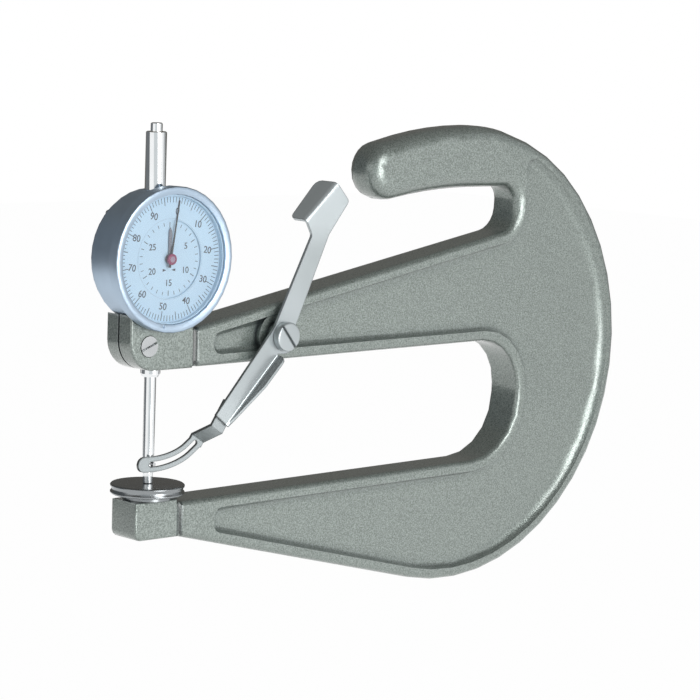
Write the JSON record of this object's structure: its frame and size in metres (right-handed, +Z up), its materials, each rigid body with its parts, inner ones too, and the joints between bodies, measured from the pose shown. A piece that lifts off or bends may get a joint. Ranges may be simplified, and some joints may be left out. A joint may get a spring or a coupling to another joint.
{
  "type": "dial thickness gauge",
  "caption": "Hand-held dial thickness gauge with a deep cast throat, a flat round anvil, a spring plunger, a dial and a thumb lever that lifts the plunger.",
  "frame": {"origin": "on the measuring axis, at the flat underside of the lower head", "axes": "+Z up along the measuring axis, +X from the measuring axis towards the back of the throat, -Y the dial side"},
  "size_m": [0.2917, 0.0331, 0.2008],
  "materials": {
    "hammer_paint": "grey-green hammer-tone enamel on a light alloy casting",
    "chrome": "hard chrome, ground and polished",
    "steel": "ground steel",
    "sheet_steel": "polished sheet steel, faintly brushed",
    "satin_chrome": "satin chrome",
    "brass": "machined brass",
    "dial_face": "matt pale paint with printed scale",
    "hand_black": "black lacquer",
    "hub_red": "red",
    "crystal": "clear"
  },
  "bodies": {
    "stand": {"frame": "hammer_paint", "anvil": "chrome", "clamp_screw": "chrome", "stem": "chrome", "lower_bush": "brass", "guide_tube": "chrome", "upper_bush": "brass", "dial_case": "satin_chrome", "rear_cover": "satin_chrome", "rear_cover_screw_1": "steel", "rear_cover_screw_2": "steel", "rear_cover_screw_3": "steel", "rear_cover_screw_4": "steel", "bezel_retaining_ring": "steel", "dial_plate": "dial_face", "guide_rail": "brass", "return_spring": "steel", "movement_back_plate": "brass", "movement_front_plate": "brass", "centre_bridge": "brass", "pillar_1": "brass", "pillar_screw_1": "steel", "pillar_2": "brass", "pillar_screw_2": "steel", "pillar_3": "brass", "pillar_screw_3": "steel", "lever_washer": "steel", "lever_pivot_screw": "sheet_steel"},
    "spindle": {"plunger": "chrome", "contact_point": "chrome", "lift_pin": "steel", "guide_pin": "steel"},
    "dial_ring": {"bezel": "satin_chrome", "crystal": "crystal", "dial_spacer": "dial_face", "scale_ring": "dial_face"},
    "lever": {"lifting_lever": "sheet_steel", "lever_foot": "sheet_steel"},
    "intermediate_train": {"rack_pinion": "steel", "intermediate_wheel": "brass", "hour_pinion": "steel"},
    "centre_train": {"centre_arbor": "steel", "main_hand": "hand_black", "hand_hub": "hub_red"},
    "turn_counter": {"hour_wheel": "brass", "revolution_hand": "hand_black"},
    "take_up_train": {"take_up_arbor": "steel", "take_up_wheel": "brass", "hairspring": "steel"}
  },
  "joints": [
    {"name": "plunger_slide", "type": "slide", "parent": "stand", "child": "spindle", "axis": [0, 0, 1], "range_m": [0, 0.03], "stiffness_N_per_m": 25, "springref_m": -0.04},
    {"name": "lever_pivot", "type": "hinge", "parent": "stand", "child": "lever", "pos_m": [0.0584, -0.0128, 0.0792], "axis": [0, 1, 0], "range_deg": [0, 29]},
    {"name": "bezel_turn", "type": "hinge", "parent": "stand", "child": "dial_ring", "pos_m": [0, -0.01, 0.1129], "axis": [0, 1, 0], "continuous": true},
    {"name": "intermediate_arbor_turn", "type": "hinge", "parent": "stand", "child": "intermediate_train", "pos_m": [-0.0037, -0.0046, 0.10553], "axis": [0, 1, 0], "range_deg": [-1081, 1]},
    {"name": "main_hand_turn", "type": "hinge", "parent": "stand", "child": "centre_train", "pos_m": [0, -0.008, 0.1129], "axis": [0, 1, 0], "range_deg": [-1, 10805]},
    {"name": "turn_counter_turn", "type": "hinge", "parent": "stand", "child": "turn_counter", "pos_m": [0, -0.0095, 0.1129], "axis": [0, 1, 0], "range_deg": [-1, 361]},
    {"name": "take_up_arbor_turn", "type": "hinge", "parent": "stand", "child": "take_up_train", "pos_m": [-0.005, -0.0058, 0.11946], "axis": [0, 1, 0], "range_deg": [-1081, 1]}
  ],
  "couplings": [
    {"joint": "lever_pivot", "follows": "plunger_slide", "rad_per_m": 16.863},
    {"joint": "intermediate_arbor_turn", "follows": "plunger_slide", "rad_per_m": -628.32},
    {"joint": "main_hand_turn", "follows": "plunger_slide", "rad_per_m": 6283.2},
    {"joint": "turn_counter_turn", "follows": "plunger_slide", "rad_per_m": 209.44},
    {"joint": "take_up_arbor_turn", "follows": "plunger_slide", "rad_per_m": -628.32}
  ]
}
